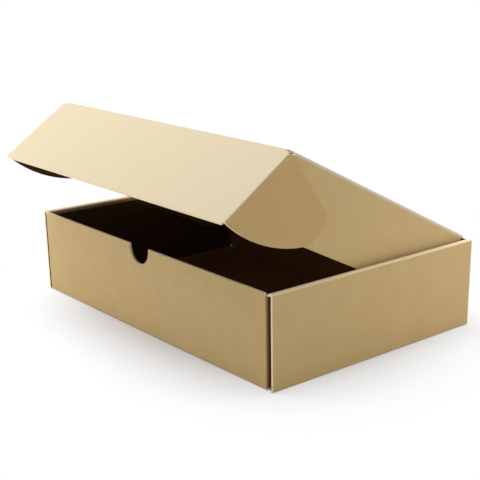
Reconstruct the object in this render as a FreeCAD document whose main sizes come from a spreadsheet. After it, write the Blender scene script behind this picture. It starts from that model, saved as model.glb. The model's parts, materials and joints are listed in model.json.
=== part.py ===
import FreeCAD, Part
import math
import os

import Sketcher

# A corrugated mailer box, die-cut from one sheet of single-wall board and folded without glue.
# The tray stands open, its lid tilted up from the back wall, as the closing flap springs outwards.
# Origin: centre of the tray's underside. +X along the long side, +Y to the back, +Z up.

doc = FreeCAD.newDocument("MailerBox")

# How close a point must lie to a wanted place to count as there, when edges are picked.
NEAR = 0.01

# Driving sizes in millimetres and degrees. Each one is set here and nowhere else.
SIZES = [
    ("length", 300.0),            # outside, end wall to end wall
    ("width", 200.0),             # outside, front wall to back wall
    ("wall_height", 69.5),        # underside to the rolled tops of the end walls
    ("board", 1.5),               # thickness of the corrugated board
    ("layer_gap", 0.25),          # air left between layers that lie on each other
    ("crease_gap", 0.2),          # air between a flap's round crease and its neighbour
    ("fold_inside", 0.5),         # inner radius where a wall folds up from the bottom
    ("roll_inside", 0.3),         # inner radius of the double crease on the end walls
    ("corner_radius", 6.0),       # soft outer bend of a long wall into its corner flap
    ("corner_relief", 0.6),       # die-cut relief where three folds meet
    ("front_step", 0.5),          # front wall's top edge below the rolled tops
    ("corner_flap_length", 62.0),
    ("corner_flap_round", 8.0),
    ("tab_width", 30.0),          # locking tabs of the end walls' inner panels
    ("tab_spacing", 110.0),
    ("tab_play", 0.3),
    ("notch_width", 25.0),        # thumb notch in the front wall
    ("notch_depth", 13.8),
    ("notch_round", 12.4),
    ("notch_shift", 5.0),         # notch centre left of the middle
    ("lid_play", 1.15),           # each side, between the closed lid's ears and the end walls
    ("lid_tilt", 26.7),           # lid above level
    ("flap_lean", 29.2),          # front flap sprung out past square to the lid
    ("flap_floor_gap", 0.6),      # under the front flap when the box is shut
    ("flap_round", 1.0),
    ("side_flap_height", 53.0),   # below the lid's underside
    ("side_flap_setback", 1.6),   # from the creases at its two ends
    ("side_flap_taper", 11.5),    # how much the front end slants back
    ("side_flap_rear_taper", 5.0),
    ("side_flap_round", 6.0),
    ("ear_length", 62.0),         # back from its crease
    ("ear_drop", 1.0),            # ear's top edge below the lid's crease
    ("ear_depth", 67.0),          # down its crease
    ("ear_end_depth", 24.0),      # down its far end
    ("ear_radius", 100.0),        # of its bowed lower edge
    ("ear_round", 9.0),
]
sheet = doc.addObject("Spreadsheet::Sheet", "Sizes")
for row, (name, value) in enumerate(SIZES, start=1):
    sheet.set(f"A{row}", name)
    sheet.set(f"B{row}", str(value))
    sheet.setAlias(f"B{row}", name)
doc.recompute()

# Places worked out from the sizes, so that layers, creases and cuts stay fitted to each other.
PLACES = [
    ("half_board", "Sizes.board / 2"),
    ("half_length", "Sizes.length / 2"),
    ("half_width", "Sizes.width / 2"),
    ("fold_outside", "Sizes.fold_inside + Sizes.board"),
    ("roll_outside", "Sizes.roll_inside + Sizes.board"),
    # levels of the tray
    ("under_roll", "Sizes.wall_height - Sizes.board"),
    ("roll_end", "Sizes.wall_height - roll_outside"),
    ("front_top", "Sizes.wall_height - Sizes.front_step"),
    ("hinge_z", "Sizes.wall_height + Sizes.layer_gap + half_board"),
    ("back_top", "hinge_z - half_board - Sizes.crease_gap"),
    ("layer_floor", "Sizes.board + Sizes.layer_gap"),
    ("corner_flap_floor", "fold_outside + Sizes.corner_relief"),
    ("corner_flap_top", "roll_end - Sizes.layer_gap"),
    # layers of an end wall, from the outside in
    ("end_inside", "half_length - Sizes.board"),
    ("corner_flap_out", "end_inside - Sizes.layer_gap"),
    ("corner_flap_in", "corner_flap_out - Sizes.board"),
    ("inner_panel_out", "corner_flap_in - Sizes.layer_gap"),
    ("inner_panel_in", "inner_panel_out - Sizes.board"),
    # long walls
    ("long_inside", "half_width - Sizes.board"),
    ("long_wall_end", "corner_flap_out - Sizes.corner_radius"),
    ("bend_lap", "long_wall_end - Sizes.board"),
    ("corner_inside_radius", "Sizes.corner_radius - Sizes.board"),
    ("corner_flap_end", "half_width - Sizes.corner_flap_length"),
    ("inner_panel_half", "half_width - Sizes.corner_radius"),
    ("fold_half", "half_width - corner_flap_floor"),
    # tabs and slots
    ("tab_near", "(Sizes.tab_spacing - Sizes.tab_width) / 2"),
    ("tab_far", "(Sizes.tab_spacing + Sizes.tab_width) / 2"),
    ("slot_near", "tab_near - Sizes.tab_play"),
    ("slot_far", "tab_far + Sizes.tab_play"),
    ("slot_out", "inner_panel_out + Sizes.tab_play"),
    ("slot_in", "inner_panel_in - Sizes.tab_play"),
    # thumb notch
    ("notch_left", "-Sizes.notch_shift - Sizes.notch_width / 2"),
    ("notch_right", "-Sizes.notch_shift + Sizes.notch_width / 2"),
    ("notch_floor", "front_top - Sizes.notch_depth"),
    ("notch_mouth", "front_top + Sizes.board"),
    ("long_mid", "half_width - half_board"),
    # lid and its flaps, seen shut: x from the middle, y back from each crease, z up from it
    ("ear_x", "inner_panel_in - Sizes.lid_play - half_board"),
    ("side_flap_x", "ear_x - Sizes.board - Sizes.layer_gap"),
    ("lid_half", "side_flap_x + half_board"),
    ("lid_edge_round", "Sizes.board - Sizes.layer_gap"),
    ("crease_reach", "half_board + Sizes.crease_gap"),
    ("lid_length", "long_mid + half_width - Sizes.board - Sizes.layer_gap - half_board"),
    ("lid_end", "lid_length - crease_reach"),
    ("front_flap_half", "ear_x - crease_reach"),
    ("front_flap_height", "hinge_z - Sizes.board - Sizes.flap_floor_gap"),
    ("side_flap_back", "Sizes.side_flap_setback"),
    ("side_flap_back_low", "side_flap_back + Sizes.side_flap_rear_taper"),
    ("side_flap_front", "lid_length - Sizes.side_flap_setback"),
    ("side_flap_front_low", "side_flap_front - Sizes.side_flap_taper"),
    ("side_flap_top", "half_board + Sizes.crease_gap"),
    ("side_flap_low", "half_board + Sizes.side_flap_height"),
    # the lid's front crease in the tilted pose
    ("crease_y", "long_mid - lid_length * cos(Sizes.lid_tilt)"),
    ("crease_z", "hinge_z + lid_length * sin(Sizes.lid_tilt)"),
    ("front_flap_tilt", "Sizes.lid_tilt + Sizes.flap_lean"),
]
places = doc.addObject("App::VarSet", "Places")
for name, rule in PLACES:
    places.addProperty("App::PropertyFloat", name, "Places")
    places.setExpression(name, rule)
doc.recompute()


def new_body(label):
    """Start a part whose Label is its piece's name."""
    body = doc.addObject("PartDesign::Body", label)
    body.Label = label
    return body


def plane_of(body, role):
    """One of the body's own origin planes."""
    return next(item for item in body.Origin.OriginFeatures if item.Role == role)


def new_sketch(body, name, role, lift=None):
    """A sketch on an origin plane, lifted off it by a named place if one is given."""
    sketch = body.newObject("Sketcher::SketchObject", name)
    sketch.AttachmentSupport = [(plane_of(body, role), "")]
    sketch.MapMode = "FlatFace"
    if lift:
        height = FreeCAD.Vector(0, 0, value_of(lift))
        sketch.AttachmentOffset = FreeCAD.Placement(height, FreeCAD.Rotation())
        sketch.setExpression("AttachmentOffset.Base.z", rule_of(lift))
    return sketch


def value_of(term):
    """The number behind a place or size name; a minus sign in front turns it round."""
    name = term.lstrip("-")
    owner = places if name in places.PropertiesList else sheet
    value = float(getattr(owner, name))
    return -value if term.startswith("-") else value


def rule_of(term):
    """The expression that binds a property to a place or size name."""
    name = term.lstrip("-")
    owner = "Places" if name in places.PropertiesList else "Sizes"
    sign = "-" if term.startswith("-") else ""
    return f"{sign}{owner}.{name}"


def bind(sketch, constraint, term):
    """Add a dimension to the sketch and tie it to a place or size."""
    index = sketch.addConstraint(constraint)
    sketch.setExpression(f"Constraints[{index}]", rule_of(term))


def place_point(sketch, geometry, position, across, up):
    """Dimension a point of the sketch from its origin; 0 puts it on the axis."""
    if across == "0":
        sketch.addConstraint(Sketcher.Constraint("PointOnObject", geometry, position, -2))
    else:
        bind(sketch, Sketcher.Constraint("DistanceX", -1, 1, geometry, position, value_of(across)), across)
    if up == "0":
        sketch.addConstraint(Sketcher.Constraint("PointOnObject", geometry, position, -1))
    else:
        bind(sketch, Sketcher.Constraint("DistanceY", -1, 1, geometry, position, value_of(up)), up)


def point_of(across, up):
    """The sketch point that two place names give."""
    x = 0.0 if across == "0" else value_of(across)
    y = 0.0 if up == "0" else value_of(up)
    return FreeCAD.Vector(x, y, 0)


def draw_outline(sketch, corners):
    """Draw a closed outline through corners (across, up, radius), given by name; radius may be None."""
    count = len(corners)
    points = [point_of(across, up) for across, up, _ in corners]
    leave, arrive, arcs = [], [], []
    for index, (_, _, radius) in enumerate(corners):
        here = points[index]
        if radius is None:
            leave.append(here)
            arrive.append(here)
            arcs.append(None)
            continue
        back = (points[index - 1] - here).normalize()
        ahead = (points[(index + 1) % count] - here).normalize()
        half_angle = back.getAngle(ahead) / 2
        size = value_of(radius)
        trim = size / math.tan(half_angle)
        centre = here + (back + ahead).normalize() * (size / math.sin(half_angle))
        arrive.append(here + back * trim)
        leave.append(here + ahead * trim)
        start, end = arrive[-1] - centre, leave[-1] - centre
        turns_left = start.cross(end).z > 0
        if not turns_left:
            start, end = end, start
        first = math.atan2(start.y, start.x)
        last = math.atan2(end.y, end.x)
        if last < first:
            last += 2 * math.pi
        circle = Part.Circle(centre, FreeCAD.Vector(0, 0, 1), size)
        arcs.append((Part.ArcOfCircle(circle, first, last), turns_left))
    lines = [
        sketch.addGeometry(Part.LineSegment(leave[index], arrive[(index + 1) % count]), False)
        for index in range(count)
    ]
    for index, (across, up, radius) in enumerate(corners):
        before, after = lines[index - 1], lines[index]
        if radius is None:
            sketch.addConstraint(Sketcher.Constraint("Coincident", before, 2, after, 1))
            place_point(sketch, after, 1, across, up)
            continue
        arc_shape, turns_left = arcs[index]
        arc = sketch.addGeometry(arc_shape, False)
        corner = sketch.addGeometry(Part.Point(points[index]), True)
        first, last = (1, 2) if turns_left else (2, 1)
        sketch.addConstraint(Sketcher.Constraint("PointOnObject", corner, 1, before))
        sketch.addConstraint(Sketcher.Constraint("PointOnObject", corner, 1, after))
        sketch.addConstraint(Sketcher.Constraint("Tangent", before, 2, arc, first))
        sketch.addConstraint(Sketcher.Constraint("Tangent", arc, last, after, 1))
        bind(sketch, Sketcher.Constraint("Radius", arc, value_of(radius)), radius)
        place_point(sketch, corner, 1, across, up)


def mirrored(corners, across=False, up=False):
    """The same corners on the other side of the sketch's upright or level axis."""
    def turned(term):
        if term == "0":
            return term
        return term[1:] if term.startswith("-") else "-" + term
    return [
        (turned(x) if across else x, turned(y) if up else y, radius)
        for x, y, radius in corners
    ]


def extrude(body, name, sketch, length, symmetric=True, kind="PartDesign::Pad"):
    """Pad or pocket a sketch by an expression's length."""
    feature = body.newObject(kind, name)
    feature.Profile = sketch
    feature.setExpression("Length", length)
    feature.SideType = "Symmetric" if symmetric else "One side"
    doc.recompute()
    return feature


def round_edges(body, name, radius, wanted):
    """Fillet the edges whose middle point passes the wanted test."""
    base = body.Tip
    names = [
        f"Edge{number}"
        for number, edge in enumerate(base.Shape.Edges, start=1)
        if wanted(edge.CenterOfMass, edge)
    ]
    feature = body.newObject("PartDesign::Fillet", name)
    feature.Base = (base, names)
    feature.setExpression("Radius", rule_of(radius))
    doc.recompute()
    return feature


def add_rod(body, name, length, axis, start):
    """A full-round crease: a rod of the board's thickness along an axis, from a start given by names."""
    rod = body.newObject("PartDesign::AdditiveCylinder", name)
    turn = FreeCAD.Rotation(FreeCAD.Vector(0, 0, 1), axis)
    rod.Placement = FreeCAD.Placement(FreeCAD.Vector(0, 0, 0), turn)
    rod.setExpression("Radius", "Places.half_board")
    rod.setExpression("Height", length)
    for letter, term in start.items():
        rod.setExpression(f"Placement.Base.{letter}", rule_of(term))
    doc.recompute()
    return rod


def set_pose(body, x="0", y="0", z="0", tilt=None):
    """Put a part at its hinge, tipped back about the long axis."""
    axis = FreeCAD.Vector(-1, 0, 0)
    angle = value_of(tilt) if tilt else 0
    base = FreeCAD.Vector(*[0 if term == "0" else value_of(term) for term in (x, y, z)])
    body.Placement = FreeCAD.Placement(base, FreeCAD.Rotation(axis, angle))
    for letter, term in zip("xyz", (x, y, z)):
        if term != "0":
            body.setExpression(f"Placement.Base.{letter}", rule_of(term))
    if tilt:
        body.setExpression("Placement.Rotation.Angle", rule_of(tilt))


# Tray: bottom, front and back walls, and end walls that roll over their own corner flaps.
tray = new_body("tray")

# Section from front to back: front wall, bottom and back wall with their rounded folds.
section = new_sketch(tray, "LongSection", "YZ_Plane")
draw_outline(section, [
    ("-half_width", "0", "fold_outside"),
    ("half_width", "0", "fold_outside"),
    ("half_width", "back_top", None),
    ("long_inside", "back_top", None),
    ("long_inside", "board", "fold_inside"),
    ("-long_inside", "board", "fold_inside"),
    ("-long_inside", "front_top", None),
    ("-half_width", "front_top", None),
])
extrude(tray, "LongWalls", section, "2 * Places.long_wall_end")

# Section from end to end: the bottom runs on to the folds under the end walls.
section = new_sketch(tray, "EndFoldSection", "XZ_Plane")
draw_outline(section, [
    ("-half_length", "0", "fold_outside"),
    ("half_length", "0", "fold_outside"),
    ("half_length", "corner_flap_floor", None),
    ("end_inside", "corner_flap_floor", None),
    ("end_inside", "board", "fold_inside"),
    ("-end_inside", "board", "fold_inside"),
    ("-end_inside", "corner_flap_floor", None),
    ("-half_length", "corner_flap_floor", None),
])
extrude(tray, "EndFolds", section, "2 * Places.fold_half")

# Slots in the bottom for the locking tabs.
SLOT = [
    ("slot_in", "slot_near", None),
    ("slot_out", "slot_near", None),
    ("slot_out", "slot_far", None),
    ("slot_in", "slot_far", None),
]
section = new_sketch(tray, "SlotSketch", "XY_Plane", lift="half_board")
draw_outline(section, SLOT)
draw_outline(section, mirrored(SLOT, across=True))
draw_outline(section, mirrored(SLOT, up=True))
draw_outline(section, mirrored(SLOT, across=True, up=True))
extrude(tray, "Slots", section, "3 * Sizes.board", kind="PartDesign::Pocket")

# End wall: the outer panel and the double crease that rolls it over into the inner panel.
ROLL = [
    ("half_length", "fold_outside", None),
    ("half_length", "wall_height", "roll_outside"),
    ("inner_panel_in", "wall_height", "roll_outside"),
    ("inner_panel_in", "corner_flap_top", None),
    ("inner_panel_out", "corner_flap_top", None),
    ("inner_panel_out", "under_roll", "roll_inside"),
    ("end_inside", "under_roll", "roll_inside"),
    ("end_inside", "fold_outside", None),
]
section = new_sketch(tray, "RollSection", "XZ_Plane")
draw_outline(section, ROLL)
draw_outline(section, mirrored(ROLL, across=True))
extrude(tray, "EndWalls", section, "Sizes.width")

# Inner panels, narrower than the outer ones, between the bends of the long walls.
INNER = [
    ("inner_panel_in", "layer_floor", None),
    ("inner_panel_out", "layer_floor", None),
    ("inner_panel_out", "under_roll", None),
    ("inner_panel_in", "under_roll", None),
]
section = new_sketch(tray, "InnerPanelSection", "XZ_Plane")
draw_outline(section, INNER)
draw_outline(section, mirrored(INNER, across=True))
extrude(tray, "InnerPanels", section, "2 * Places.inner_panel_half")

# Locking tabs, from the inner panels down through the slots, flush with the underside.
TAB = [
    ("inner_panel_in", "tab_near", None),
    ("inner_panel_out", "tab_near", None),
    ("inner_panel_out", "tab_far", None),
    ("inner_panel_in", "tab_far", None),
]
section = new_sketch(tray, "TabSketch", "XY_Plane")
draw_outline(section, TAB)
draw_outline(section, mirrored(TAB, across=True))
draw_outline(section, mirrored(TAB, up=True))
draw_outline(section, mirrored(TAB, across=True, up=True))
extrude(tray, "Tabs", section, "Places.layer_floor + Sizes.board", symmetric=False)

# Corner flaps: each long wall bends softly into the space between an end wall's two panels.
CORNER = [
    ("bend_lap", "-half_width", None),
    ("corner_flap_out", "-half_width", "corner_radius"),
    ("corner_flap_out", "-corner_flap_end", None),
    ("corner_flap_in", "-corner_flap_end", None),
    ("corner_flap_in", "-long_inside", "corner_inside_radius"),
    ("bend_lap", "-long_inside", None),
]
section = new_sketch(tray, "CornerSketch", "XY_Plane", lift="corner_flap_floor")
draw_outline(section, CORNER)
draw_outline(section, mirrored(CORNER, across=True))
draw_outline(section, mirrored(CORNER, up=True))
draw_outline(section, mirrored(CORNER, across=True, up=True))
extrude(tray, "CornerFlaps", section, "Places.corner_flap_top - Places.corner_flap_floor", symmetric=False)
round_edges(
    tray, "CornerFlapRounds", "corner_flap_round",
    lambda middle, edge: abs(abs(middle.y) - places.corner_flap_end) < NEAR
    and places.corner_flap_in < abs(middle.x) < places.corner_flap_out
    and abs(edge.Length - sheet.board) < NEAR,
)

# Thumb notch in the front wall's top edge.
section = new_sketch(tray, "NotchSketch", "XZ_Plane", lift="long_mid")
draw_outline(section, [
    ("notch_left", "notch_mouth", None),
    ("notch_left", "notch_floor", "notch_round"),
    ("notch_right", "notch_floor", "notch_round"),
    ("notch_right", "notch_mouth", None),
])
extrude(tray, "ThumbNotch", section, "3 * Sizes.board", kind="PartDesign::Pocket")

# Lid panel: round at its rear crease, folded down along both ends, square at its front crease.
lid = new_body("lid")
section = new_sketch(lid, "LidSection", "XZ_Plane")
draw_outline(section, [
    ("-lid_half", "-half_board", None),
    ("lid_half", "-half_board", None),
    ("lid_half", "half_board", "lid_edge_round"),
    ("-lid_half", "half_board", "lid_edge_round"),
])
extrude(lid, "LidPanel", section, "Places.lid_end", symmetric=False)
add_rod(
    lid, "RearCrease", "2 * Places.lid_half",
    FreeCAD.Vector(1, 0, 0), {"x": "-lid_half"},
)
set_pose(lid, y="long_mid", z="hinge_z", tilt="lid_tilt")

# Front flap: hangs from the lid's front crease and carries the ears.
front_flap = new_body("front_flap")
section = new_sketch(front_flap, "FlapSketch", "XZ_Plane")
draw_outline(section, [
    ("-front_flap_half", "0", None),
    ("-front_flap_half", "-front_flap_height", "flap_round"),
    ("front_flap_half", "-front_flap_height", "flap_round"),
    ("front_flap_half", "0", None),
])
extrude(front_flap, "FlapPanel", section, "Sizes.board")
add_rod(
    front_flap, "TopCrease", "2 * Places.front_flap_half",
    FreeCAD.Vector(1, 0, 0), {"x": "-front_flap_half"},
)
set_pose(front_flap, y="crease_y", z="crease_z", tilt="front_flap_tilt")

# Side flaps hang from the lid's ends, and the front flap's ears fold back outside them.
for side, sign in (("left", "-"), ("right", "")):
    side_flap = new_body(f"side_flap_{side}")
    section = new_sketch(side_flap, f"SideFlapSketch_{side}", "YZ_Plane")
    draw_outline(section, [
        ("-side_flap_back", "-side_flap_top", None),
        ("-side_flap_front", "-side_flap_top", None),
        ("-side_flap_front_low", "-side_flap_low", "side_flap_round"),
        ("-side_flap_back_low", "-side_flap_low", "side_flap_round"),
    ])
    extrude(side_flap, f"SideFlapPanel_{side}", section, "Sizes.board")
    set_pose(side_flap, x=f"{sign}side_flap_x", y="long_mid", z="hinge_z", tilt="lid_tilt")

    ear = new_body(f"ear_{side}")
    section = new_sketch(ear, f"EarSketch_{side}", "YZ_Plane")
    foot, top = point_of("0", "-ear_depth"), point_of("0", "-ear_drop")
    tip, heel = point_of("ear_length", "-ear_drop"), point_of("ear_length", "-ear_end_depth")
    chord = heel - foot
    rise = math.sqrt(value_of("ear_radius") ** 2 - (chord.Length / 2) ** 2)
    centre = foot + chord * 0.5 + FreeCAD.Vector(-chord.y, chord.x, 0).normalize() * rise
    first = math.atan2(foot.y - centre.y, foot.x - centre.x)
    last = math.atan2(heel.y - centre.y, heel.x - centre.x)
    circle = Part.Circle(centre, FreeCAD.Vector(0, 0, 1), value_of("ear_radius"))
    crease = section.addGeometry(Part.LineSegment(foot, top), False)
    upper = section.addGeometry(Part.LineSegment(top, tip), False)
    end = section.addGeometry(Part.LineSegment(tip, heel), False)
    bow = section.addGeometry(Part.ArcOfCircle(circle, first, last), False)
    section.addConstraint(Sketcher.Constraint("Coincident", crease, 2, upper, 1))
    section.addConstraint(Sketcher.Constraint("Coincident", upper, 2, end, 1))
    section.addConstraint(Sketcher.Constraint("Coincident", end, 2, bow, 2))
    section.addConstraint(Sketcher.Constraint("Coincident", bow, 1, crease, 1))
    place_point(section, crease, 1, "0", "-ear_depth")
    place_point(section, crease, 2, "0", "-ear_drop")
    place_point(section, upper, 2, "ear_length", "-ear_drop")
    place_point(section, end, 2, "ear_length", "-ear_end_depth")
    bind(section, Sketcher.Constraint("Radius", bow, value_of("ear_radius")), "ear_radius")
    extrude(ear, f"EarPanel_{side}", section, "Sizes.board")
    round_edges(
        ear, f"EarRounds_{side}", "ear_round",
        lambda middle, edge: middle.y > sheet.ear_length - NEAR and abs(middle.x) < NEAR,
    )
    add_rod(
        ear, f"EarCrease_{side}", "Sizes.ear_depth - Sizes.ear_drop",
        FreeCAD.Vector(0, 0, 1), {"z": "-ear_depth"},
    )
    set_pose(ear, x=f"{sign}ear_x", y="crease_y", z="crease_z", tilt="front_flap_tilt")

doc.recompute()

# Check every object, then write one STEP file for each piece.
for item in doc.Objects:
    if "Invalid" in item.State or "Error" in item.State:
        raise RuntimeError(f"{item.Name} failed: {item.State}")
pieces = [item for item in doc.Objects if item.isDerivedFrom("PartDesign::Body")]
for piece in pieces:
    if piece.Shape.isNull() or not piece.Shape.isValid() or len(piece.Shape.Solids) != 1:
        raise RuntimeError(f"{piece.Label} is not one sound solid")
os.makedirs("parts", exist_ok=True)
for piece in pieces:
    piece.Shape.exportStep(os.path.join("parts", piece.Label + ".step"))
    box = piece.Shape.BoundBox
    extent = f"{box.XLength:.1f} x {box.YLength:.1f} x {box.ZLength:.1f} mm"
    print(f"{piece.Label}: volume {piece.Shape.Volume:.0f} mm3, box {extent}")
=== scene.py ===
import json
import math

import bmesh
import bpy
from mathutils import Matrix, Vector


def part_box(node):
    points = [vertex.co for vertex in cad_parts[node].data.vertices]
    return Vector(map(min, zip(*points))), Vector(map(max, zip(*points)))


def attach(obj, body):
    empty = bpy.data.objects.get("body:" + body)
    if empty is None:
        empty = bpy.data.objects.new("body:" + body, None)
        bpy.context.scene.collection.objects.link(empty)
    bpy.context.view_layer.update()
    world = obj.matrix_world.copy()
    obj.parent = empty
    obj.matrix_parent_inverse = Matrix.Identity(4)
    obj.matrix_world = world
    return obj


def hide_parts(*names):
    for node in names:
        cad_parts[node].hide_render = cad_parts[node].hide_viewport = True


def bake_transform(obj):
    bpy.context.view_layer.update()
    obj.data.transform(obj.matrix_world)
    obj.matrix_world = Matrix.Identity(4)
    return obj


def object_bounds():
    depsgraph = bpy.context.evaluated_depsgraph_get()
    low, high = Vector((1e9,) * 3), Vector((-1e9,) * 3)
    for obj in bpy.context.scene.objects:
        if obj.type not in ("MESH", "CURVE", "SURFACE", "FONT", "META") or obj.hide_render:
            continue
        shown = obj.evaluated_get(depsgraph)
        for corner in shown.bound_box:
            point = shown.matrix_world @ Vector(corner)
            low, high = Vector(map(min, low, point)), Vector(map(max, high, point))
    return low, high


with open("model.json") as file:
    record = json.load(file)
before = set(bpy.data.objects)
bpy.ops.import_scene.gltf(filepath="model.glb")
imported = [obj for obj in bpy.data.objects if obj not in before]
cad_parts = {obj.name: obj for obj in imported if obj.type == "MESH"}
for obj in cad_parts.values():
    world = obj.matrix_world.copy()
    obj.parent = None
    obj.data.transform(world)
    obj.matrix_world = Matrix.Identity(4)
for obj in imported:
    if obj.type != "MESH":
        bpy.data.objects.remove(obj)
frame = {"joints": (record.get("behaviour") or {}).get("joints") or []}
cad_low, cad_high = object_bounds()


# The board: one sheet of single-wall corrugated. Outside it is pale kraft liner. Inside, the liner is
# painted near-black brown as painted shade for the deep shade in the tray, and the die leaves a light
# fluffy edge where the flutes show faintly.
# Every blank keeps its flat place on the sheet as its UV map, so the paper's grain runs on over folds.
MM = 0.001
BOARD = 1.5 * MM
FLUTE_PITCH = 3.2 * MM
KRAFT = (0.46, 0.316, 0.129)
KRAFT_PALE = (0.50, 0.35, 0.148)
KRAFT_FLECK = (0.34, 0.215, 0.09)
# Painted shade: the inside liner's tones are near-black brown, standing for the deep shade inside the
# tray.
INNER_SHADE_BROWN = (0.070, 0.029, 0.008)
INNER_SHADE_PALE = (0.088, 0.038, 0.012)
CUT = (0.88, 0.75, 0.52)
# Painted shade: the flute hollows in the cut edge are painted darker.
CUT_HOLLOW_SHADE = (0.58, 0.43, 0.26)
# Colours of painted light and shade on the outer liner: paler where the top light falls, darker where
# shade falls.
LID_PAINTED_LIGHT = (0.53, 0.466, 0.33)
ROLL_PAINTED_LIGHT = (0.78, 0.64, 0.41)
EAR_PAINTED_SHADE = (0.42, 0.258, 0.088)
GAP_PAINTED_SHADE = (0.10, 0.026, 0.002)
SHADE_EDGE, SHADE_SIDE = 0.5 * MM, 0.2 * MM
WASHBOARD, FLECK_SHARE = 0.5, 0.35
# In thicknesses of the board: how far the medium swings from the middle, where it ends and the hollow
# starts, and where the liner ends.
MEDIUM_SWING, MEDIUM_EDGE, LINER_EDGE = 0.33, (0.08, 0.2), (0.36, 0.28)


def add_node(tree, kind, inputs=(), **settings):
    """Put a node in a tree, with its settings and the values or links of its inputs."""
    node = tree.nodes.new(kind)
    for name, value in settings.items():
        setattr(node, name, value)
    for key, value in dict(inputs).items():
        if isinstance(value, bpy.types.NodeSocket):
            tree.links.new(value, node.inputs[key])
        else:
            node.inputs[key].default_value = value
    return node


def calculate(tree, operation, *values):
    """What a Math node makes of one or two values."""
    return add_node(tree, "ShaderNodeMath", dict(enumerate(values)), operation=operation).outputs["Value"]


def ramp(tree, value, start, end):
    """0 where a value is at start, 1 where it is at end, and level beyond them."""
    return add_node(tree, "ShaderNodeMapRange", {
        "Value": value, "From Min": start, "From Max": end,
    }).outputs["Result"]


MIX_FIRST, MIX_SECOND, MIX_RESULT = 6, 7, 2    # a Mix node's colour sockets


def mix_colours(tree, share, first, second):
    """The first colour with a share of the second mixed into it."""
    return add_node(tree, "ShaderNodeMix", {
        "Factor": share, MIX_FIRST: first, MIX_SECOND: second,
    }, data_type="RGBA").outputs[MIX_RESULT]


def paper_group():
    """Paper as a node group: cloudy formation, long fibres, flecks, and the flutes' faint washboard."""
    group = bpy.data.node_groups.new("Paper", "ShaderNodeTree")
    for name in ("Flute Pitch", "Washboard"):
        group.interface.new_socket(name, in_out="INPUT", socket_type="NodeSocketFloat")
    for name in ("Tone", "Fleck", "Height"):
        group.interface.new_socket(name, in_out="OUTPUT", socket_type="NodeSocketFloat")
    ends = add_node(group, "NodeGroupInput")
    flat = add_node(group, "ShaderNodeUVMap", uv_map="flat").outputs["UV"]
    clouds = add_node(group, "ShaderNodeTexNoise", {
        "Vector": flat, "Scale": 60.0, "Detail": 5.0, "Roughness": 0.6,
    }).outputs["Fac"]
    along = add_node(group, "ShaderNodeMapping", {"Vector": flat, "Scale": (3.0, 1.0, 1.0)})
    fibres = add_node(group, "ShaderNodeTexNoise", {
        "Vector": along.outputs["Vector"], "Scale": 520.0, "Detail": 4.0, "Roughness": 0.7,
    }).outputs["Fac"]
    specks = add_node(group, "ShaderNodeTexNoise", {
        "Vector": flat, "Scale": 1400.0, "Detail": 1.0,
    }).outputs["Fac"]
    split = add_node(group, "ShaderNodeSeparateXYZ", {"Vector": flat})
    turns = calculate(group, "DIVIDE", split.outputs["X"], ends.outputs["Flute Pitch"])
    wave = calculate(group, "SINE", calculate(group, "MULTIPLY", turns, 2 * math.pi))
    ribs = calculate(group, "MULTIPLY", wave, ends.outputs["Washboard"])
    add_node(group, "NodeGroupOutput", {
        "Tone": ramp(group, calculate(group, "ADD", clouds, fibres), 0.72, 1.28),
        "Fleck": ramp(group, specks, 0.66, 0.78),
        "Height": calculate(group, "ADD", fibres, ribs),
    })
    return group


paper = paper_group()


def liner_material(name, dark, pale, speck, roughness, shine, glow):
    """Liner paper: two tones clouded into each other, with darker flecks, and a glow of its pale tone,
    painted light, as strong as glow.
    """
    material = bpy.data.materials.new(name)
    material.use_nodes = True
    tree = material.node_tree
    shader = tree.nodes["Principled BSDF"]
    grain = add_node(tree, "ShaderNodeGroup", node_tree=paper)
    grain.inputs["Flute Pitch"].default_value = FLUTE_PITCH
    grain.inputs["Washboard"].default_value = WASHBOARD
    clouded = mix_colours(tree, grain.outputs["Tone"], (*dark, 1), (*pale, 1))
    share = calculate(tree, "MULTIPLY", grain.outputs["Fleck"], FLECK_SHARE)
    flecked = mix_colours(tree, share, clouded, (*speck, 1))
    bump = add_node(tree, "ShaderNodeBump", {
        "Height": grain.outputs["Height"], "Strength": 0.25, "Distance": 0.05 * MM,
    })
    tree.links.new(flecked, shader.inputs["Base Color"])
    tree.links.new(bump.outputs["Normal"], shader.inputs["Normal"])
    shader.inputs["Roughness"].default_value = roughness
    shader.inputs["Specular IOR Level"].default_value = shine
    # The glow is painted light: the liner gives off a little of its pale tone by itself, with no lamp.
    shader.inputs["Emission Color"].default_value = (*pale, 1)
    shader.inputs["Emission Strength"].default_value = glow
    return material


def band(tree, value, start, end, fade):
    """One between two places on the flat sheet, fading out over a short way inside them."""
    rise = ramp(tree, value, start, start + fade)
    fall = ramp(tree, value, end, end - SHADE_EDGE)
    return calculate(tree, "MULTIPLY", rise, fall)


def paint_light_and_shade(material, regions, mirrored=True):
    """Paint light and shade on a liner, shifting it towards a colour in regions of the flat sheet.

    Each is (colour, share, fade, span of u, span of v). Mirrored ones lie in all four quarters."""
    tree = material.node_tree
    base = tree.nodes["Principled BSDF"].inputs["Base Color"]
    flat = add_node(tree, "ShaderNodeUVMap", uv_map="flat").outputs["UV"]
    if mirrored:
        flat = add_node(tree, "ShaderNodeVectorMath", {0: flat}, operation="ABSOLUTE").outputs["Vector"]
    split = add_node(tree, "ShaderNodeSeparateXYZ", {"Vector": flat})
    for colour, share, fade, across, along in regions:
        across_band = band(tree, split.outputs["X"], *across, fade)
        along_band = band(tree, split.outputs["Y"], *along, SHADE_SIDE)
        inside = calculate(tree, "MULTIPLY", across_band, along_band)
        share_here = calculate(tree, "MULTIPLY", inside, share)
        tree.links.new(
            mix_colours(tree, share_here, base.links[0].from_socket, (*colour, 1)), base
        )


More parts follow.
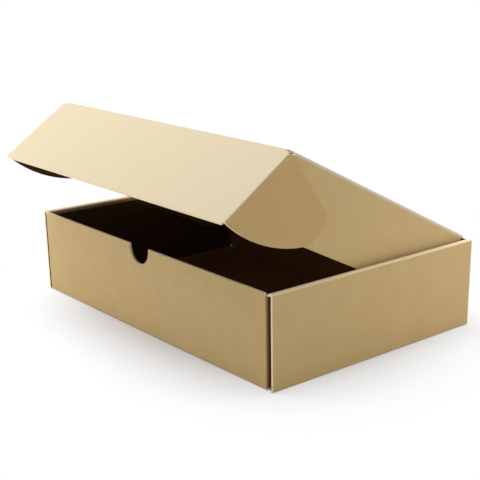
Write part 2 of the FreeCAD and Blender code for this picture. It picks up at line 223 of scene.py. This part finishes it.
def cut_material():
    """The cut edge: two liners and the medium's wave light, the hollows between them dented and painted
    darker, painted shade.
    """
    material = bpy.data.materials.new("cut_edge")
    material.use_nodes = True
    tree = material.node_tree
    shader = tree.nodes["Principled BSDF"]
    flat = add_node(tree, "ShaderNodeUVMap", uv_map="flat").outputs["UV"]
    split = add_node(tree, "ShaderNodeSeparateXYZ", {"Vector": flat})
    angle = calculate(tree, "MULTIPLY", split.outputs["X"], 2 * math.pi / FLUTE_PITCH)
    medium = calculate(tree, "MULTIPLY", calculate(tree, "SINE", angle), MEDIUM_SWING)
    depth = add_node(tree, "ShaderNodeAttribute", attribute_name="depth").outputs["Fac"]
    from_medium = calculate(tree, "ABSOLUTE", calculate(tree, "SUBTRACT", depth, medium))
    from_middle = calculate(tree, "ABSOLUTE", depth)
    hollow = calculate(
        tree, "MULTIPLY", ramp(tree, from_medium, *MEDIUM_EDGE), ramp(tree, from_middle, *LINER_EDGE)
    )
    fluff = add_node(tree, "ShaderNodeTexNoise", {"Vector": flat, "Scale": 1500.0, "Detail": 3.0})
    shaded_hollows = calculate(tree, "MULTIPLY", hollow, fluff.outputs["Fac"])
    bump = add_node(tree, "ShaderNodeBump", {
        "Height": shaded_hollows, "Strength": 0.6, "Distance": 0.3 * MM,
    })
    bump.invert = True
    tree.links.new(
        mix_colours(tree, shaded_hollows, (*CUT, 1), (*CUT_HOLLOW_SHADE, 1)), shader.inputs["Base Color"]
    )
    tree.links.new(bump.outputs["Normal"], shader.inputs["Normal"])
    shader.inputs["Roughness"].default_value = 0.9
    shader.inputs["Specular IOR Level"].default_value = 0.15
    return material


# In the order in which make_board gives them out: outer liner, inner liner, cut edge.
board_materials = [
    liner_material("kraft_liner", KRAFT, KRAFT_PALE, KRAFT_FLECK, 0.62, 0.3, 0.0),
    # The inside liner: painted shade in near-black brown, with a faint painted glow.
    liner_material("inner_liner_painted_shade", INNER_SHADE_BROWN, INNER_SHADE_PALE, INNER_SHADE_BROWN, 0.9, 0.0, 0.07),
    cut_material(),
]

# Painted light and shade on the outer liner, by where they lie on the flat sheet. Painted light makes the
# top-lit lid with its front flap and the rolled tops of the end walls paler. Painted shade makes the ears
# a little deeper and the inner panels dark, and the corner flaps near-black brown where they turn into
# the gaps beside the end walls.
SHEET_END = 1.0
LID_START, LID_SIDE = 170 * MM, 143.2 * MM
EAR_START, EAR_FRONT = 144 * MM, 366 * MM
WALL_SPAN = (-MM, 0.11)
ROLL_TOP_SPAN = (216 * MM, 222 * MM)
INNER_PANEL_START = 222.5 * MM
CORNER_FLAP_END, CORNER_FLAP_LOW, CORNER_FLAP_HIGH = 210 * MM, 100.3 * MM, 169 * MM
TIGHT_GAP_START, TIGHT_GAP_FADE = 146.2 * MM, 1.2 * MM
SPRUNG_GAP_START, SPRUNG_GAP_FADE = 142.4 * MM, 1.9 * MM
paint_light_and_shade(board_materials[0], [
    # Painted light: the top-lit lid and its front flap are painted paler.
    (LID_PAINTED_LIGHT, 0.8, SHADE_EDGE, (-MM, LID_SIDE), (LID_START, SHEET_END)),
    # Painted light: the rolled tops of the end walls are painted much paler.
    (ROLL_PAINTED_LIGHT, 0.9, SHADE_EDGE, ROLL_TOP_SPAN, WALL_SPAN),
    # Painted shade: the ears are painted a little deeper.
    (EAR_PAINTED_SHADE, 0.5, SHADE_EDGE, (EAR_START, SHEET_END), (EAR_FRONT, SHEET_END)),
    # Painted shade: the kraft inner panels of the end walls are painted near-black brown for the shade
    # inside the tray.
    (INNER_SHADE_BROWN, 0.9, SHADE_EDGE, (INNER_PANEL_START, SHEET_END), WALL_SPAN),
    # Painted shadow: the corner flaps darken towards near-black brown where they turn into the gaps
    # beside the end walls.
    (
        GAP_PAINTED_SHADE, 0.9, TIGHT_GAP_FADE,
        (TIGHT_GAP_START, CORNER_FLAP_END), (CORNER_FLAP_LOW, CORNER_FLAP_HIGH),
    ),
])
# Painted shadow, wider, in the sprung gap at the front right corner.
paint_light_and_shade(board_materials[0], [(
    GAP_PAINTED_SHADE, 1.0, SPRUNG_GAP_FADE,
    (SPRUNG_GAP_START, CORNER_FLAP_END), (-CORNER_FLAP_HIGH, -CORNER_FLAP_LOW),
)], mirrored=False)


# Tray: bottom, front and back walls, end walls that roll over their corner flaps, and locking tabs.
# It is cut flat as one cross-shaped blank, inside face up, scored along its creases and folded up.
# (u, v) is a point of the flat blank from the middle of the bottom, u to the right and v to the back.
HALF_LENGTH, HALF_WIDTH, WALL_TOP = cad_high.x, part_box("tray")[1].y, 69.5 * MM
LAYER_GAP = 0.25 * MM
FOLD_RADIUS = 1.25 * MM            # middle of the board, where a wall folds up
ROLL_RADIUS = 1.05 * MM            # each half of the end walls' double crease
FRONT_TOP = 69.0 * MM
CORNER_FLAP_FLOOR, CORNER_FLAP_TOP = 2.6 * MM, 67.45 * MM
CORNER_FLAP_LENGTH = 62 * MM
CORNER_FLAP_ROUND = 8 * MM
INNER_PANEL_SETBACK, INNER_PANEL_ROUND = 6 * MM, 3 * MM
TAB_WIDTH, TAB_SPACING, TAB_PLAY = 30 * MM, 110 * MM, 0.3 * MM
NOTCH_WIDTH, NOTCH_DEPTH, NOTCH_SHIFT, NOTCH_ROUND = 25 * MM, 13.8 * MM, 5 * MM, 12.4 * MM
CREASE_RADIUS, CREASE_FLAT = 1.1 * MM, 0.6 * MM    # the lid's creases, at the middle of the board
ROUND_STEPS, FOLD_STEPS, BEND_STEPS = 10, 6, 8
MERGE_DISTANCE = 0.01 * MM
WALL_EDGE_SLACK = 0.03 * MM        # less than the slit between an end wall and a corner flap

half_board = BOARD / 2
end_middle = HALF_LENGTH - half_board
long_middle = HALF_WIDTH - half_board
end_fold = end_middle - FOLD_RADIUS
long_fold = long_middle - FOLD_RADIUS
quarter_turn = math.pi / 2
fold_run = FOLD_RADIUS * quarter_turn
fold_top = half_board + FOLD_RADIUS
corner_face = HALF_LENGTH - BOARD - LAYER_GAP
roll_run = ROLL_RADIUS * quarter_turn
roll_start = end_fold + fold_run + WALL_TOP - half_board - ROLL_RADIUS - fold_top
inner_panel_middle = end_middle - 2 * (BOARD + LAYER_GAP)
roll_flat = end_middle - inner_panel_middle - 2 * ROLL_RADIUS
roll_second = roll_start + roll_run + roll_flat
roll_end = roll_second + roll_run
layer_floor = BOARD + LAYER_GAP
inner_panel_end = roll_end + WALL_TOP - half_board - ROLL_RADIUS - layer_floor
tab_end = inner_panel_end + layer_floor
tab_near, tab_far = (TAB_SPACING - TAB_WIDTH) / 2, (TAB_SPACING + TAB_WIDTH) / 2


def wall_place(height):
    """How far from the bottom's middle line a height on a long wall lies in the flat blank."""
    return long_fold + fold_run + height - fold_top


def cut_blank(points):
    """Cut a flat blank through its corners (u, v, rounding)."""
    blank = bmesh.new()
    corners = [blank.verts.new((u, v, 0)) for u, v, _ in points]
    blank.faces.new(corners)
    for rounding in sorted({point[2] for point in points} - {0}):
        bmesh.ops.bevel(
            blank,
            geom=[corner for corner, point in zip(corners, points) if point[2] == rounding],
            offset=rounding,
            offset_type="OFFSET",
            segments=ROUND_STEPS,
            profile=0.5,
            affect="VERTICES",
            material=-1,
        )
    return blank


def score(blank, axis, places, keep=lambda middle: True):
    """Cut the blank's faces across at each place along u (axis 0) or v (axis 1)."""
    across = Vector((1, 0, 0)) if axis == 0 else Vector((0, 1, 0))
    for place in places:
        faces = [face for face in blank.faces if keep(face.calc_center_median())]
        edges = {edge for face in faces for edge in face.edges}
        verts = {vert for face in faces for vert in face.verts}
        bmesh.ops.bisect_plane(
            blank,
            geom=[*faces, *edges, *verts],
            dist=1e-7,
            plane_co=across * place,
            plane_no=across,
        )


def steps(start, run, count):
    """Evenly spaced score lines over a bend."""
    return [start + run * step / count for step in range(count + 1)]


def folded(run, bends):
    """Where a point lies once folded: along the sheet's start, and up on its inside."""
    across, up, heading, done = 0.0, 0.0, 0.0, 0.0
    for start, radius, turn in bends:
        straight = min(run, start) - done
        across += straight * math.cos(heading)
        up += straight * math.sin(heading)
        if run <= start:
            return across, up
        arc = min((run - start) / radius, turn)
        across += radius * (math.sin(heading + arc) - math.sin(heading))
        up += radius * (math.cos(heading) - math.cos(heading + arc))
        heading += arc
        done = start + radius * turn
        if run <= done:
            return across, up
    across += (run - done) * math.cos(heading)
    up += (run - done) * math.sin(heading)
    return across, up


def make_board(blank, name, put):
    """Fold a blank by a rule for where each of its points goes, then give it the board's thickness."""
    bmesh.ops.remove_doubles(blank, verts=blank.verts, dist=MERGE_DISTANCE)
    blank.normal_update()
    flat = blank.loops.layers.uv.new("flat")
    for face in blank.faces:
        for loop in face.loops:
            loop[flat].uv = loop.vert.co.xy
        if face.normal.z > 0:
            face.normal_flip()
    for vert in blank.verts:
        vert.co = put(vert.co.x, vert.co.y)
    blank.normal_update()
    mesh = bpy.data.meshes.new(name)
    blank.to_mesh(mesh)
    blank.free()
    piece = bpy.data.objects.new(name, mesh)
    bpy.context.collection.objects.link(piece)
    for material in board_materials:
        mesh.materials.append(material)
    thickness = piece.modifiers.new("Thickness", "SOLIDIFY")
    thickness.thickness = BOARD
    thickness.offset = 0
    thickness.use_quality_normals = True
    thickness.material_offset = 1
    thickness.material_offset_rim = 2
    bpy.context.view_layer.update()
    solid = bpy.data.meshes.new_from_object(piece.evaluated_get(bpy.context.evaluated_depsgraph_get()))
    piece.modifiers.clear()
    piece.data = solid
    depth = solid.attributes.new("depth", "FLOAT", "POINT")
    for polygon in solid.polygons:
        if polygon.material_index < 2:
            side = 0.5 if polygon.material_index == 0 else -0.5
            for index in polygon.vertices:
                depth.data[index].value = side
    solid.shade_smooth()
    solid.set_sharp_from_angle(angle=math.radians(40))
    return piece


def tray_place(u, v):
    """Where a point of the tray's flat blank goes when the walls are folded up and rolled over."""
    on_end_wall = abs(u) > end_fold and abs(v) < HALF_WIDTH + WALL_EDGE_SLACK
    if abs(v) > long_fold and not on_end_wall:
        away, up = folded(abs(v), [(long_fold, FOLD_RADIUS, quarter_turn)])
        side, end = (1 if u > 0 else -1), (1 if v > 0 else -1)
        across, inward = folded(abs(u), corner_run(side, end))
        return Vector((math.copysign(across, u), math.copysign(away - inward, v), half_board + up))
    across, up = folded(abs(u), [
        (end_fold, FOLD_RADIUS, quarter_turn),
        (roll_start, ROLL_RADIUS, quarter_turn),
        (roll_second, ROLL_RADIUS, quarter_turn),
    ])
    return Vector((math.copysign(across, u), v, half_board + up))


def joint_vector(name, key="pos_m"):
    """A joint's place at rest, or its axis."""
    return Vector(next(joint[key] for joint in frame["joints"] if joint["name"] == name))


def crease_reach(turn):
    """How far from where two panels would meet their crease piece starts, for the turn between them."""
    return CREASE_RADIUS * math.tan(turn / 2) + CREASE_FLAT


hinge, front_hinge = joint_vector("lid_hinge"), joint_vector("front_flap_hinge")
lid_tilt = math.atan2(front_hinge.z - hinge.z, hinge.y - front_hinge.y)
back_reach = crease_reach(math.pi / 2 - lid_tilt)

# Each long wall's bend into a corner flap, by the signs of u and v: where it starts, its radius and how
# far short of square it stops. The one at the front right springs off the end wall and leaves a gap.
TIGHT_INSET, TIGHT_RADIUS, TIGHT_FLAP_FLOOR = 2.05 * MM, 1.3 * MM, 2.1 * MM
SPRUNG_INSET, SPRUNG_RADIUS, SPRUNG_SHORT = 6 * MM, 2.6 * MM, math.radians(9)
SPRING_RADIUS = 20 * MM
END_WALL_RELIEF = 0.05 * MM
CORNER_ZONE = 7.5 * MM             # how far from the end wall a long wall's end has its own scores
tray_corners = [(side, end) for side in (-1, 1) for end in (-1, 1)]
corner_bends = {corner: (corner_face - TIGHT_INSET, TIGHT_RADIUS, 0) for corner in tray_corners}
corner_bends[1, -1] = (corner_face - SPRUNG_INSET, SPRUNG_RADIUS, SPRUNG_SHORT)


def corner_run(side, end):
    """The bends from a long wall into a corner flap, with the soft one that lays it on the end wall."""
    start, radius, short = corner_bends[side, end]
    bends = [(start, radius, quarter_turn - short)]
    if short:
        out = corner_face - half_board - start - radius * math.cos(short)
        straight = (out - SPRING_RADIUS * (1 - math.cos(short))) / math.sin(short)
        bends.append((start + radius * (quarter_turn - short) + straight, SPRING_RADIUS, short))
    return bends


def tray_corner(side, end):
    """One corner of the flat tray's outline, from an end wall's middle to a long wall's rim."""
    start, radius, short = corner_bends[side, end]
    flap_end = start + radius * (quarter_turn - short) + CORNER_FLAP_LENGTH - half_board - radius
    rim = hinge.z - back_reach if end > 0 else FRONT_TOP
    floor_gap = CORNER_FLAP_FLOOR if short else TIGHT_FLAP_FLOOR
    return [(side * u, end * v, rounding) for u, v, rounding in (
        (inner_panel_end, tab_near, 0),
        (tab_end, tab_near, 0),
        (tab_end, tab_far, 0),
        (inner_panel_end, tab_far, 0),
        (inner_panel_end, HALF_WIDTH - INNER_PANEL_SETBACK, INNER_PANEL_ROUND),
        (roll_end + LAYER_GAP, HALF_WIDTH - INNER_PANEL_SETBACK, 0),
        (roll_end + LAYER_GAP, HALF_WIDTH, 0),
        (end_fold + END_WALL_RELIEF, HALF_WIDTH, 0),
        (end_fold + END_WALL_RELIEF, HALF_WIDTH - floor_gap, 0),
        (start, HALF_WIDTH - floor_gap, 0),
        (start, wall_place(floor_gap), 0),
        (flap_end, wall_place(floor_gap), CORNER_FLAP_ROUND),
        (flap_end, wall_place(CORNER_FLAP_TOP), CORNER_FLAP_ROUND),
        (start, wall_place(CORNER_FLAP_TOP), 0),
        (start, wall_place(rim), 0),
    )]


def on_corner(middle, side, end):
    """Whether part of the blank belongs to the end of a long wall or to its corner flap."""
    return end * middle.y > long_fold + fold_run and side * middle.x > corner_face - CORNER_ZONE


rim = -wall_place(FRONT_TOP)
notch_left, notch_right = -NOTCH_SHIFT - NOTCH_WIDTH / 2, -NOTCH_SHIFT + NOTCH_WIDTH / 2
blank = cut_blank(
    tray_corner(1, 1)
    + tray_corner(-1, 1)[::-1]
    + tray_corner(-1, -1)
    + [
        (notch_left, rim, 0),
        (notch_left, rim + NOTCH_DEPTH, NOTCH_ROUND),
        (notch_right, rim + NOTCH_DEPTH, NOTCH_ROUND),
        (notch_right, rim, 0),
    ]
    + tray_corner(1, -1)[::-1]
)
score(blank, 0, [side * corner_bends[side, end][0] for side, end in tray_corners])
for side in (-1, 1):
    for bend, run in ((end_fold, fold_run), (roll_start, roll_run), (roll_second, roll_run)):
        score(blank, 0, [side * place for place in steps(bend, run, FOLD_STEPS)])
    score(blank, 1, [side * place for place in steps(long_fold, fold_run, FOLD_STEPS)])
    for end in (-1, 1):
        for start, radius, turn in corner_run(side, end):
            score(
                blank, 0, [side * place for place in steps(start, radius * turn, BEND_STEPS)],
                keep=lambda middle: on_corner(middle, side, end),
            )
slot_in = inner_panel_middle - half_board - TAB_PLAY
slot_out = inner_panel_middle + half_board + TAB_PLAY
slot_near, slot_far = tab_near - TAB_PLAY, tab_far + TAB_PLAY
for side in (-1, 1):
    score(
        blank, 0, [side * slot_in, side * slot_out],
        keep=lambda middle: abs(middle.x) < end_fold and abs(middle.y) < long_fold,
    )
    score(
        blank, 1, [side * slot_near, side * slot_far],
        keep=lambda middle: slot_in < abs(middle.x) < slot_out and abs(middle.y) < long_fold,
    )
slots = [
    face for face in blank.faces
    if slot_in < abs(face.calc_center_median().x) < slot_out
    and slot_near < abs(face.calc_center_median().y) < slot_far
]
bmesh.ops.delete(blank, geom=slots, context="FACES")
tray_board = make_board(blank, "tray_board", tray_place)
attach(tray_board, "tray")
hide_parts("tray")


# Lid: a flat panel that carries on from the back wall over a score. Its blank goes on from the
# back wall's on the sheet, forwards from the hinge, with small lugs beyond the side creases.
SIDE_FLAP_SETBACK = 1.6 * MM
CHAMFER = 1.6 * MM                 # cut off the lid's and the front flap's corners where they meet
LID_CHAMFER_RUN, FLAP_CHAMFER_RUN = 2 * MM, 1.2 * MM
CORNER_RELIEF = 4 * MM             # how far short of the front crease the side flaps stop
lid_length = (front_hinge - hinge).length
side_axis = joint_vector("side_flap_right_hinge")
side_middle = side_axis.x + half_board
side_reach = crease_reach(quarter_turn)
rightwards = Vector((1, 0, 0))
lid_forwards = (front_hinge - hinge).normalized()
lid_down = rightwards.cross(lid_forwards)
hinge_place = wall_place(hinge.z)
front_crease_place = hinge_place + lid_length
flap_down = joint_vector("ear_right_hinge", "axis").normalized()
flap_back = rightwards.cross(flap_down)
front_reach = crease_reach(lid_forwards.angle(flap_down))


def lid_outline():
    """The lid panel between its four creases."""
    panel = side_middle - side_reach
    rear, front = hinge_place + back_reach, front_crease_place - front_reach
    rear_side = hinge_place + SIDE_FLAP_SETBACK
    right = [
        (side_middle, rear, 0), (side_middle, rear_side, 0), (panel, rear_side, 0),
        (panel, front - LID_CHAMFER_RUN, 0), (panel - CHAMFER, front, 0),
    ]
    return right + [(-u, v, rounding) for u, v, rounding in reversed(right)]


def lid_place(u, v):
    """Where a point of the lid's blank goes."""
    return hinge + rightwards * u + lid_forwards * (v - hinge_place)


lid_board = make_board(cut_blank(lid_outline()), "lid_board", lid_place)
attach(lid_board, "lid")
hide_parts("lid")


# Front flap: the closing flap on the lid's front crease, with its two rounded ears folded back.
# It hangs well forward of square, as a flap does that springs on its score.
FRONT_FLAP_HEIGHT = 68.4 * MM
FRONT_FLAP_ROUND = 1.0 * MM
ear_middle = joint_vector("ear_right_hinge").x


def front_flap_place(u, v):
    """Where a point of the front flap's blank goes."""
    return front_hinge + rightwards * u + flap_down * (v - front_crease_place)


flap_half = ear_middle - side_reach
flap_top, flap_low = front_crease_place + front_reach, front_crease_place + FRONT_FLAP_HEIGHT
front_flap_board = make_board(cut_blank([
    (flap_half, flap_top + FLAP_CHAMFER_RUN, 0), (flap_half - CHAMFER, flap_top, 0),
    (CHAMFER - flap_half, flap_top, 0), (-flap_half, flap_top + FLAP_CHAMFER_RUN, 0),
    (-flap_half, flap_low, FRONT_FLAP_ROUND), (flap_half, flap_low, FRONT_FLAP_ROUND),
]), "front_flap_board", front_flap_place)
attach(front_flap_board, "front_flap")
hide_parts("front_flap")


# Side flaps: two flaps of the same board that hang from the lid's ends. The die cuts them slanted at
# both their ends, more at the front, and rounds them below, so that they slip into the tray.
SIDE_FLAP_DEPTH = 53.75 * MM
SIDE_FLAP_TAPER, SIDE_FLAP_REAR_TAPER = 11.5 * MM, 5 * MM
SIDE_FLAP_ROUND = 6 * MM
for side, word in ((-1, "left"), (1, "right")):
    def side_flap_place(u, v):
        """Where a point of this side flap's blank goes."""
        return lid_place(side * side_middle, v) + lid_down * (abs(u) - side_middle)

    top, low = side * (side_middle + side_reach), side * (side_middle + SIDE_FLAP_DEPTH)
    rear, front = hinge_place + SIDE_FLAP_SETBACK, front_crease_place - CORNER_RELIEF
    side_flap_board = make_board(cut_blank([
        (top, rear, 0), (low, rear + SIDE_FLAP_REAR_TAPER, SIDE_FLAP_ROUND),
        (low, front - SIDE_FLAP_TAPER, SIDE_FLAP_ROUND), (top, front, 0),
    ]), f"side_flap_board_{word}", side_flap_place)
    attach(side_flap_board, f"side_flap_{word}")
    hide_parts(f"side_flap_{word}")


# Ears: flaps on the front flap's ends, folded back outside the side flaps. Each narrows along a bowed
# lower edge to its rounded far end.
EAR_LENGTH, EAR_DROP, EAR_DEPTH, EAR_END_DEPTH = 62 * MM, 1 * MM, 67 * MM, 24 * MM
EAR_RADIUS, EAR_ROUND = 100 * MM, 9 * MM
EAR_SLIT = 1 * MM                  # how far below the ear's top edge its crease starts
ear_corner = Vector((ear_middle, front_crease_place, 0))
chord = Vector((EAR_LENGTH, EAR_END_DEPTH - EAR_DEPTH))
rise = math.sqrt(EAR_RADIUS ** 2 - (chord.length / 2) ** 2)
bow = Vector((EAR_LENGTH, EAR_DEPTH + EAR_END_DEPTH)) / 2 - chord.orthogonal().normalized() * rise
ear_foot = bow.y + math.sqrt(EAR_RADIUS ** 2 - (side_reach - bow.x) ** 2)


def ear_blank(side):
    """An ear cut round the centres of its bowed edge and its two rounded corners."""
    blank = bmesh.new()
    out = EAR_LENGTH - EAR_ROUND
    heel = bow.y + math.sqrt((EAR_RADIUS - EAR_ROUND) ** 2 - (out - bow.x) ** 2)
    foot_angle = math.atan2(ear_foot - bow.y, side_reach - bow.x)
    heel_angle = math.atan2(heel - bow.y, out - bow.x)
    for centre, start, turn, count in (
        ((bow.x, bow.y), (side_reach, ear_foot), foot_angle - heel_angle, 32),
        ((out, heel), None, heel_angle, 6),
        ((out, EAR_DROP + EAR_ROUND), (EAR_LENGTH, EAR_DROP + EAR_ROUND), quarter_turn, 12),
    ):
        if start:
            last = blank.verts.new(ear_corner + Vector((*start, 0)))
        made = bmesh.ops.spin(
            blank, geom=[last], cent=ear_corner + Vector((*centre, 0)), axis=(0, 0, 1),
            angle=-turn, steps=count,
        )
        last = next(item for item in made["geom_last"] if isinstance(item, bmesh.types.BMVert))
    blank.verts.new(ear_corner + Vector((side_reach, EAR_DROP, 0)))
    blank.verts.ensure_lookup_table()
    blank.faces.new(blank.verts)
    if side < 0:
        bmesh.ops.scale(blank, vec=(-1, 1, 1), verts=blank.verts)
        blank.normal_update()
    return blank


for side, word in ((-1, "left"), (1, "right")):
    def ear_place(u, v):
        """Where a point of this ear's blank goes."""
        return front_flap_place(side * ear_middle, v) + flap_back * (abs(u) - ear_middle)

    ear_board = make_board(ear_blank(side), f"ear_board_{word}", ear_place)
    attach(ear_board, f"ear_{word}")
    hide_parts(f"ear_{word}")


# Creases: the scored strips that join the moving panels, one sheet with them. Each is bent round its
# hinge line as at rest.
def add_crease(name, axis, at, span, start, into, out, along):
    """A strip of board across a score at u or v = at, bent from one panel's direction to the next."""
    side = math.copysign(1, at)
    turn = into.angle(out)
    inner = (out - into * out.dot(into)).normalized()
    reach = crease_reach(turn)
    whole = 2 * CREASE_FLAT + CREASE_RADIUS * turn
    low, high = span

    def across_crease(crossing):
        """A point on the way over the score, at the start of its length."""
        along_into, along_inner = folded(
            (crossing + reach) / (2 * reach) * whole, [(CREASE_FLAT, CREASE_RADIUS, turn)]
        )
        return start + into * (along_into - reach) + inner * along_inner

    def crease_place(u, v):
        """Where a point of the strip's blank goes."""
        crossing, beside = (u, v) if axis == 0 else (v, u)
        return across_crease(side * (crossing - at)) + along * (beside - low)

    outline = [(at - reach, low), (at + reach, low), (at + reach, high), (at - reach, high)]
    if axis == 1:
        outline = [(beside, crossing) for crossing, beside in outline]
    strip = cut_blank([(u, v, 0) for u, v in outline])
    bent = reach * (1 - 2 * CREASE_FLAT / whole)
    score(strip, axis, steps(at - bent, 2 * bent, BEND_STEPS))
    crease = make_board(strip, name, crease_place)
    first, last = across_crease(-reach), across_crease(reach)
    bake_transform(crease)


add_crease(
    "back_crease", 1, hinge_place, (-side_middle, side_middle),
    hinge - rightwards * side_middle, Vector((0, 0, 1)), lid_forwards, rightwards,
)
front_crease_end = side_middle - side_reach - CHAMFER
add_crease(
    "front_crease", 1, front_crease_place, (-front_crease_end, front_crease_end),
    front_hinge - rightwards * front_crease_end, lid_forwards, flap_down, rightwards,
)
for side, word in ((-1, "left"), (1, "right")):
    outwards = rightwards * side
    rear, front = hinge_place + SIDE_FLAP_SETBACK, front_crease_place - CORNER_RELIEF
    add_crease(
        f"side_crease_{word}", 0, side * side_middle, (rear, front),
        lid_place(side * side_middle, rear), outwards, lid_down, lid_forwards,
    )
    top, low = front_crease_place + EAR_DROP + EAR_SLIT, front_crease_place + ear_foot
    add_crease(
        f"ear_crease_{word}", 0, side * ear_middle, (top, low),
        front_flap_place(side * ear_middle, top), outwards, flap_back, flap_down,
    )


# Floor and light: a white sweep under soft studio lamps, the brightest up on the left. Near the box the
# floor takes its shadow, and further off it fades to pure white.
FLOOR_SIZE, FADE_START, FADE_END = 6.0, 0.085, 0.26


def looked_at(tree):
    """1 for what the camera sees, straight or as a reflection, and 0 for what only lights the object."""
    path = add_node(tree, "ShaderNodeLightPath")
    return calculate(tree, "MAXIMUM", path.outputs["Is Camera Ray"], path.outputs["Is Glossy Ray"])


bpy.ops.mesh.primitive_plane_add(size=FLOOR_SIZE)
floor = bpy.context.object
floor.name = "floor"
white = bpy.data.materials.new("floor_white")
white.use_nodes = True
tree = white.node_tree
tree.nodes.remove(tree.nodes["Principled BSDF"])
matt = add_node(tree, "ShaderNodeBsdfDiffuse", {"Color": (0.80, 0.81, 0.84, 1)})
glow = add_node(tree, "ShaderNodeEmission", {"Color": (1, 1, 1, 1), "Strength": 1.0})
spot = add_node(tree, "ShaderNodeTexCoord")
distance = add_node(tree, "ShaderNodeVectorMath", {0: spot.outputs["Object"]}, operation="LENGTH")
fade = add_node(tree, "ShaderNodeMapRange", {
    "Value": distance.outputs["Value"], "From Min": FADE_START, "From Max": FADE_END,
}, interpolation_type="SMOOTHSTEP")
both = add_node(tree, "ShaderNodeMixShader", {
    0: fade.outputs["Result"], 1: matt.outputs[0], 2: glow.outputs[0],
})
pick = add_node(tree, "ShaderNodeMixShader", {
    0: looked_at(tree), 1: matt.outputs[0], 2: both.outputs[0],
})
tree.links.new(pick.outputs[0], tree.nodes["Material Output"].inputs["Surface"])
floor.data.materials.append(white)


def add_softbox(name, place, aim, size, power):
    """A square area lamp that points at a place."""
    lamp = bpy.data.lights.new(name, "AREA")
    lamp.size = size
    lamp.energy = power
    holder = bpy.data.objects.new(name, lamp)
    bpy.context.collection.objects.link(holder)
    holder.location = place
    holder.rotation_euler = (Vector(aim) - Vector(place)).to_track_quat("-Z", "Y").to_euler()


add_softbox("top", (-0.3, -0.2, 1.15), (0, 0, 0.05), 0.9, 13.5)
add_softbox("left", (-0.5, -0.45, 0.25), (-0.1, -0.1, 0.05), 0.35, 1.65)
add_softbox("right", (0.42, 0.42, 0.22), (0.15, 0.05, 0.05), 0.4, 1.5)
SKY_LIGHT = 0.45                   # how much the white surroundings light the object
world = bpy.data.worlds.new("studio")
bpy.context.scene.world = world
world.use_nodes = True
sky = world.node_tree
background = sky.nodes["Background"]
level = add_node(sky, "ShaderNodeMapRange", {
    "Value": looked_at(sky), "To Min": SKY_LIGHT, "To Max": 1.0,
})
background.inputs["Color"].default_value = (1, 1, 1, 1)
sky.links.new(level.outputs["Result"], background.inputs["Strength"])
bpy.context.scene.view_settings.view_transform = "Standard"


# Camera: a short telephoto from the front right, a little above the box. Its place and turn come from
# fitting the box's straight edges, its lengths and centre in pixels of the picture.
PICTURE = 480
AZIMUTH, ELEVATION, ROLL = math.radians(48.7363), math.radians(18.6676), math.radians(-0.0605)
FOCAL, CENTRE_X, CENTRE_Y = 1028.362, 291.098, 294.030
EYE = Vector((628.38, -503.59, 281.76)) * MM
backwards = Vector((
    math.sin(AZIMUTH) * math.cos(ELEVATION),
    -math.cos(AZIMUTH) * math.cos(ELEVATION),
    math.sin(ELEVATION),
))
level_right = Vector((0, 0, 1)).cross(backwards).normalized()
level_up = backwards.cross(level_right)
right = level_right * math.cos(ROLL) + level_up * math.sin(ROLL)
up = level_up * math.cos(ROLL) - level_right * math.sin(ROLL)
camera = bpy.data.objects.new("camera", bpy.data.cameras.new("camera"))
bpy.context.collection.objects.link(camera)
camera.matrix_world = Matrix.Translation(EYE) @ Matrix((right, up, backwards)).transposed().to_4x4()
camera.data.sensor_width = 36
camera.data.lens = 36 * FOCAL / PICTURE
camera.data.shift_x = (PICTURE / 2 - CENTRE_X) / PICTURE
camera.data.shift_y = (CENTRE_Y - PICTURE / 2) / PICTURE
bpy.context.scene.camera = camera
